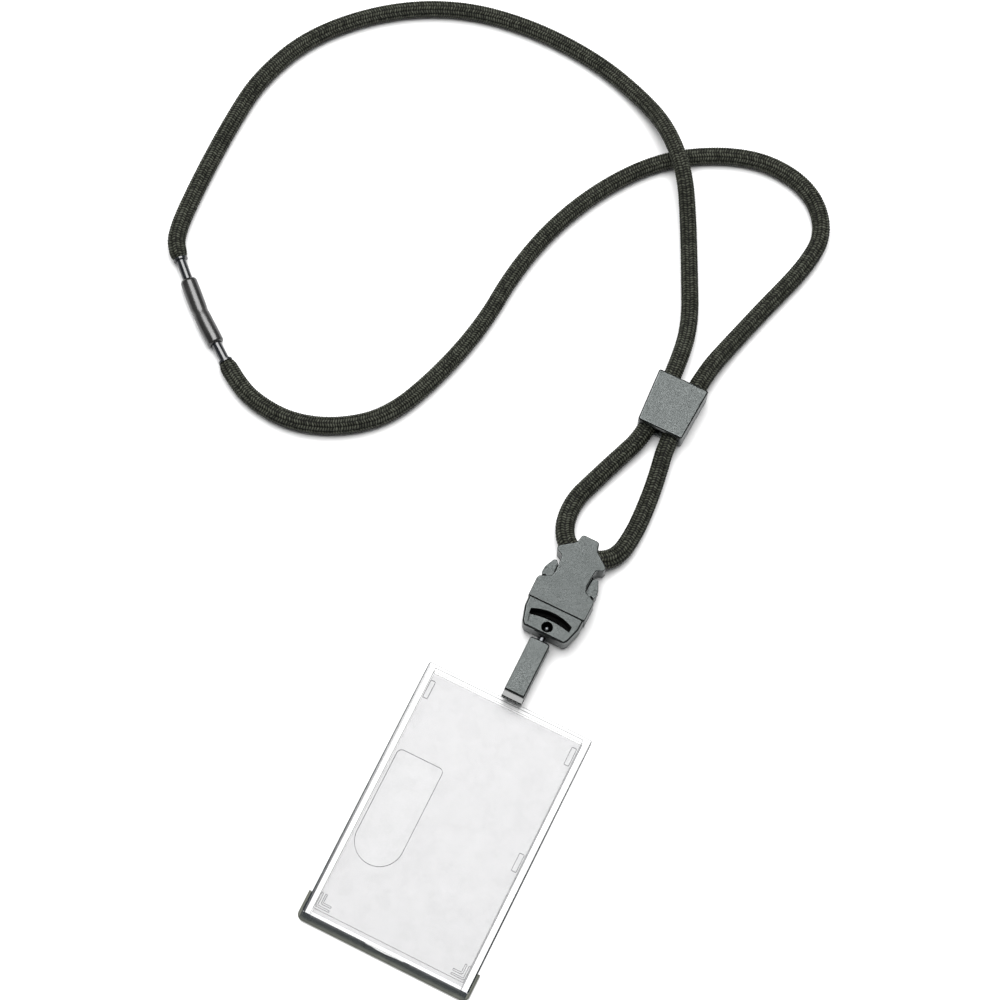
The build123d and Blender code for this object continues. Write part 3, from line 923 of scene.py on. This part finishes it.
SLOT_SHADE_TONES = [(0.3, (0.003, 0.0033, 0.003)), (0.75, (0.007, 0.0075, 0.007))]
VINYL_TONES = [(0.3, (0.012, 0.012, 0.0115)), (0.7, (0.023, 0.023, 0.022))]
GLOSSY_TONES = [(0.3, (0.006, 0.007, 0.009)), (0.7, (0.012, 0.014, 0.017))]
NICKEL_TONES = [(0.3, (0.035, 0.037, 0.040)), (0.7, (0.075, 0.078, 0.082))]

# painted shade for the slot's depth: near black walls that barely mirror
slot_shade_material = toned_finish(
    "slot_walls_painted_shade", BLACK_GRAIN, SLOT_SHADE_TONES, Roughness=0.9, Specular_IOR_Level=0.1
)
polished_material = toned_finish(
    "polished_step", 700.0, BLACK_TONES, roughness=(0.2, 0.36), Specular_IOR_Level=0.75
)
sleeve_material = toned_finish(
    "soft_sleeve",
    900.0,
    VINYL_TONES,
    roughness=(0.16, 0.36),
    relief=(0.05 * mm, 0.5),
    Specular_IOR_Level=0.7,
)
pin_material = toned_finish(
    "breakaway_pins",
    600.0,
    GLOSSY_TONES,
    roughness=(0.1, 0.3),
    relief=(0.04 * mm, 0.35),
    Specular_IOR_Level=0.8,
)
steel_material = toned_finish(
    "steel_pins", 1500.0, NICKEL_TONES, roughness=(0.12, 0.32), Metallic=1.0
)

# %% [markdown]
# ## Clear plastic
# Full refraction would show every reflection of the room in these thin walls and bury what they are
# for, so the clear case is see-through by its alpha instead. It has three kinds of surface: the
# polished rails and the front, which hardly show; the faintly frosted back panel, which greys what
# lies under it; and the long outer sides, where light runs along inside the wall and little comes
# out towards the eye, so that they look dark. Clear plastic also throws hardly any shadow.

# %% Helpers for see-through plastic
SHADOW_KEPT = 0.12  # how much of clear plastic's look its shadow has


def greater(tree, value, limit):
    """1 where a value passes a limit, and 0 elsewhere."""
    return maths(tree, "GREATER_THAN", value, limit)


def less(tree, value, limit):
    """1 where a value is under a limit, and 0 elsewhere."""
    return maths(tree, "LESS_THAN", value, limit)


def place_on_case(tree):
    """How far a place is to either side of the middle, and how far up the object, in metres."""
    node = add(tree, "ShaderNodeSeparateXYZ")
    tree.links.new(add(tree, "ShaderNodeTexCoord").outputs["Object"], node.inputs[0])
    return maths(tree, "ABSOLUTE", node.outputs["X"]), node.outputs["Y"]


def pale_shadow(tree, alpha):
    """The alpha that the eye sees, and only a share of it for light on its way to the floor."""
    rays = add(tree, "ShaderNodeLightPath")
    passing = maths(tree, "MAXIMUM", rays.outputs["Is Shadow Ray"], rays.outputs["Is Diffuse Ray"])
    return times(tree, alpha, minus(tree, 1.0, times(tree, passing, 1.0 - SHADOW_KEPT)))


# a ray can cross more than the usual eight thin walls and beads before it reaches the floor
THIN_WALLS = 32
bpy.context.scene.cycles.transparent_max_bounces = THIN_WALLS
print("a ray may cross", THIN_WALLS, "clear faces")

# %% Clear plastic
CASE_HALF_WIDTH = 30.0 * mm
CASE_HALF_LENGTH = 46.0 * mm
POCKET_HALF_WIDTH = 27.4 * mm
POCKET_TOP = 43.8 * mm
POCKET_END = -44.6 * mm
SIDE_DEPTH = 0.35 * mm
FLAT_ENOUGH = 0.2  # the tilt under which a face is frosted
CLEAR_ALPHA = 0.025
SIDE_ALPHA = 0.35, 0.97  # at the top and at the foot of the long sides
GRAIN_SHARE = 0.3
PANEL_COLOURS = [(0.25, (0.36, 0.36, 0.365)), (0.75, (0.44, 0.44, 0.445))]
# the long sides' dark colour and alpha are painted shade for the light lost inside the wall, darker
# towards the foot
SIDE_COLOURS = [(0.3, (0.012, 0.016, 0.019)), (0.7, (0.03, 0.036, 0.042))]


def clear_finish(name, frost):
    """Clear plastic: frost is the alpha of its flat faces inside the pocket's outline."""
    material, tree, shader = finish_material(name, Specular_IOR_Level=0.12)
    from_middle, up_case = place_on_case(tree)
    outer_side = greater(tree, from_middle, CASE_HALF_WIDTH - SIDE_DEPTH)
    in_pocket = less(tree, from_middle, POCKET_HALF_WIDTH)
    for test in (
        less(tree, up_case, POCKET_TOP),
        greater(tree, up_case, POCKET_END),
        less(tree, tilt(tree), FLAT_ENOUGH),
    ):
        in_pocket = times(tree, in_pocket, test)
    up_share = over(tree, plus(tree, up_case, CASE_HALF_LENGTH), 2 * CASE_HALF_LENGTH)
    down_side = clamped(tree, minus(tree, 1.0, up_share))
    side_alpha = times(tree, outer_side, between(tree, down_side, *SIDE_ALPHA))
    alpha = maths(tree, "MAXIMUM", between(tree, in_pocket, CLEAR_ALPHA, frost), side_alpha)
    tree.links.new(pale_shadow(tree, alpha), shader.inputs["Alpha"])
    fine_grain, tone = use_grain(tree, 2200.0)
    mottled = plus(tree, times(tree, tone, 1 - GRAIN_SHARE), times(tree, fine_grain, GRAIN_SHARE))
    mix = add(tree, "ShaderNodeMix", data_type="RGBA")
    tree.links.new(outer_side, mix.inputs["Factor"])
    tree.links.new(ramp(tree, mottled, PANEL_COLOURS), mix.inputs[6])
    tree.links.new(ramp(tree, mottled, SIDE_COLOURS), mix.inputs[7])
    tree.links.new(mix.outputs[2], shader.inputs["Base Color"])
    tree.links.new(between(tree, tone, 0.22, 0.34), shader.inputs["Roughness"])
    print(name, "frosted by", frost)
    return material


front_material = clear_finish("clear_front", 0.02)
back_material = clear_finish("clear_back", 0.5)

# %% [markdown]
# ## Smoky plastic
# The end cap is moulded in a smoky plastic that is almost opaque. It could be tinted glass, but its
# depth shows better as colour: slate where it meets the case, and paler and warmer towards its
# rounded end, a painted glow where light gathers in it. Its arms beside the case are painted paler
# as well.

# %% Smoky plastic
CAP_START = -46.0 * mm
CAP_DEPTH = 4.6 * mm
ARM_GLOW = 0.62
TONE_SHARE = 0.3
SMOKE_AND_GLOW_COLOURS = [
    (0.0, (0.008, 0.012, 0.017)),
    (0.5, (0.024, 0.028, 0.027)),
    (0.95, (0.17, 0.175, 0.145)),
]

smoky_material, tree, shader = finish_material("smoky_plastic", Specular_IOR_Level=0.03)
_, tone = use_grain(tree, 1400.0)
from_middle, up_case = place_on_case(tree)
# painted glow: the colour grows paler towards the cap's end, and on its arms
towards_end = over(tree, minus(tree, CAP_START, up_case), CAP_DEPTH)
on_arm = times(tree, greater(tree, from_middle, CASE_HALF_WIDTH), ARM_GLOW)
glow_and_tone = plus(tree, maths(tree, "MAXIMUM", towards_end, on_arm), times(tree, tone, TONE_SHARE))
smoke = ramp(tree, clamped(tree, glow_and_tone), SMOKE_AND_GLOW_COLOURS)
tree.links.new(smoke, shader.inputs["Base Color"])
tree.links.new(pale_shadow(tree, between(tree, tone, 0.86, 0.98)), shader.inputs["Alpha"])
tree.links.new(between(tree, tone, 0.1, 0.22), shader.inputs["Roughness"])
print(smoky_material.name, "has", len(tree.nodes), "nodes")

# %% [markdown]
# ## The case's arrises
# The edges of a moulding are never perfectly sharp. Each is a tiny round that sends light away from
# the eye, so a clear case is drawn by its edges: thin grey lines round the slot, the windows, the
# ribs and the rails. Geometry Nodes pick every sharp edge of the case and run a hair-thin bead
# along it.

# %% The tree that draws the arrises
ARRIS_RADIUS = 0.07 * mm
SHARP_ANGLE = 0.8  # radians between two faces, past which their edge gets a bead
BEAD_SIDES = 5
WELD = 0.001 * mm

beads, beads_in, beads_out = new_tree("arris beads")
tree_input(beads, "Sharper than", "NodeSocketFloat", SHARP_ANGLE)
tree_input(beads, "Radius", "NodeSocketFloat", ARRIS_RADIUS)
tree_input(beads, "Sides", "NodeSocketInt", BEAD_SIDES)
tree_input(beads, "Material", "NodeSocketMaterial")
angle = add(beads, "GeometryNodeInputMeshEdgeAngle").outputs[0]
sharp = add(beads, "FunctionNodeCompare", data_type="FLOAT", operation="GREATER_THAN")
beads.links.new(angle, sharp.inputs[0])
beads.links.new(beads_in.outputs["Sharper than"], sharp.inputs[1])
joined = add(beads, "GeometryNodeMergeByDistance")
beads.links.new(beads_in.outputs["Geometry"], joined.inputs["Geometry"])
joined.inputs["Distance"].default_value = WELD
edges = add(beads, "GeometryNodeMeshToCurve")
beads.links.new(joined.outputs[0], edges.inputs[0])
beads.links.new(sharp.outputs[0], edges.inputs["Selection"])
ring = add(beads, "GeometryNodeCurvePrimitiveCircle")
beads.links.new(beads_in.outputs["Sides"], ring.inputs["Resolution"])
beads.links.new(beads_in.outputs["Radius"], ring.inputs["Radius"])
bead = add(beads, "GeometryNodeCurveToMesh")
beads.links.new(edges.outputs[0], bead.inputs["Curve"])
beads.links.new(ring.outputs[0], bead.inputs["Profile Curve"])
close_tree(beads, beads_in, beads_out, bead.outputs[0])

# %% [markdown]
# ## How dark an arris is
# All the lines could be one grey, but the ones over the frosted pane are faint, and the ones round
# the rim are strong, with the whole depth of a wall behind them. So the finish asks where a bead
# lies, and the broad tone makes each line come and go a little along its length.

# %% Arris material
RIM_DEPTH = 0.6 * mm
SIDE_DARKER = 0.3
RIM_DARKER = 0.2
RIM_ALPHA = 0.5
SLATE_COLOURS = [
    (0.0, (0.02, 0.025, 0.03)),
    (0.25, (0.05, 0.055, 0.06)),
    (0.7, (0.15, 0.155, 0.155)),
]

arris_material, tree, shader = finish_material("arrises", Roughness=0.3, Specular_IOR_Level=0.2)
from_middle, up_case = place_on_case(tree)
on_side = greater(tree, from_middle, CASE_HALF_WIDTH - RIM_DEPTH)
past_pocket = greater(tree, from_middle, POCKET_HALF_WIDTH)
on_rim = maths(tree, "MAXIMUM", past_pocket, greater(tree, up_case, POCKET_TOP))
_, tone = use_grain(tree, 500.0)
darker = plus(tree, times(tree, on_side, SIDE_DARKER), times(tree, on_rim, RIM_DARKER))
slate = ramp(tree, clamped(tree, minus(tree, tone, darker)), SLATE_COLOURS)
tree.links.new(slate, shader.inputs["Base Color"])
alpha = plus(tree, times(tree, on_rim, RIM_ALPHA), between(tree, tone, 0.3, 0.95))
tree.links.new(pale_shadow(tree, clamped(tree, alpha)), shader.inputs["Alpha"])
print(arris_material.name, "has", len(tree.nodes), "nodes")

# %% Beads on the case
bead_settings = {
    "Sharper than": SHARP_ANGLE,
    "Radius": ARRIS_RADIUS,
    "Sides": BEAD_SIDES,
    "Material": arris_material,
}
for node_name in ("case_front", "case_back"):
    node_mesh = frame["nodes"][node_name].data.copy()
    node_mesh.transform(frame["nodes"][node_name].matrix_world)
    arrises = run_tree(node_name + "_arrises", node_mesh, beads, bead_settings)
    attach(arrises, "case")

# %% [markdown]
# ## Dressing the pieces
# Every CAD node that keeps its shape takes its finish here. The sleeve is a new piece, so it also
# says which body it moves with, and the CAD node it replaces is hidden.

# %% Dress the pieces
nodes = frame["nodes"]
wear(pin_material, nodes["upper_breakaway_pin"], nodes["lower_breakaway_pin"])
wear(black_material, nodes["cord_slider"], nodes["swivel_link"])
wear(buckle_material, nodes["buckle_socket"], nodes["buckle_plug"])
wear(buckle_material, nodes["latch_arm_left"], nodes["latch_arm_right"])
wear(steel_material, nodes["swivel_stud"], nodes["hinge_pin"])
wear(back_material, nodes["case_back"])
wear(front_material, nodes["case_front"])
wear(smoky_material, nodes["case_end_cap"])

wear(sleeve_material, sleeve)
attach(sleeve, "neck_loop")
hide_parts("breakaway_sleeve")

# %% [markdown]
# ## Pieces with two finishes
# Three mouldings are not the same all over: the low step at the foot of the link is polished, the
# walls down inside the plug's slot get a painted shade, near black and barely mirroring, and the
# cap's lip between the rails is as clear as the case. Each could be cut into two pieces, but a piece
# may wear two materials, and a face is chosen by where it lies and which way it looks.

# %% Second finishes
STEP_END = 48.5 * mm
FACES_UP = 0.9
SLOT_LOW, SLOT_HIGH = 71.5 * mm, 78.6 * mm
SLOT_HALF_WIDTH = 7.8 * mm
SLOT_LEDGE = 8.2 * mm
FACES_DOWN = -0.5
LIP_START = -46.3 * mm
LIP_HALF_WIDTH = 27.6 * mm


def second_finish(node_name, material, chosen):
    """Give a node's chosen faces another finish; chosen looks at a face's middle and normal."""
    node = frame["nodes"][node_name]
    node.data.materials.append(material)
    turn = node.matrix_world.to_3x3()
    count = 0
    for face in node.data.polygons:
        if chosen(node.matrix_world @ face.center, turn @ face.normal):
            face.material_index = len(node.data.materials) - 1
            count += 1
    print(material.name, "on", count, "faces of", node_name)


def on_step(middle, normal):
    """The top of the low step at the foot of the link."""
    return middle.y < STEP_END and normal.z > FACES_UP


def in_slot(middle, normal):
    """The faces down inside the plug's slot."""
    inside = SLOT_LOW < middle.y < SLOT_HIGH and abs(middle.x) < SLOT_HALF_WIDTH
    return inside and normal.z > FACES_DOWN and middle.z < SLOT_LEDGE


def on_lip(middle, normal):
    """The cap's lip between the rails."""
    return middle.y > LIP_START and abs(middle.x) < LIP_HALF_WIDTH


second_finish("swivel_link", polished_material, on_step)
# the slot's walls take the painted shade
second_finish("buckle_plug", slot_shade_material, in_slot)
second_finish("case_end_cap", front_material, on_lip)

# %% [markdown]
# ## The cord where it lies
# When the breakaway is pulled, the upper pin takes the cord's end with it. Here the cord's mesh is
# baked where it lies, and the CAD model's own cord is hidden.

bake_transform(cord)
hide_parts("neck_cord")
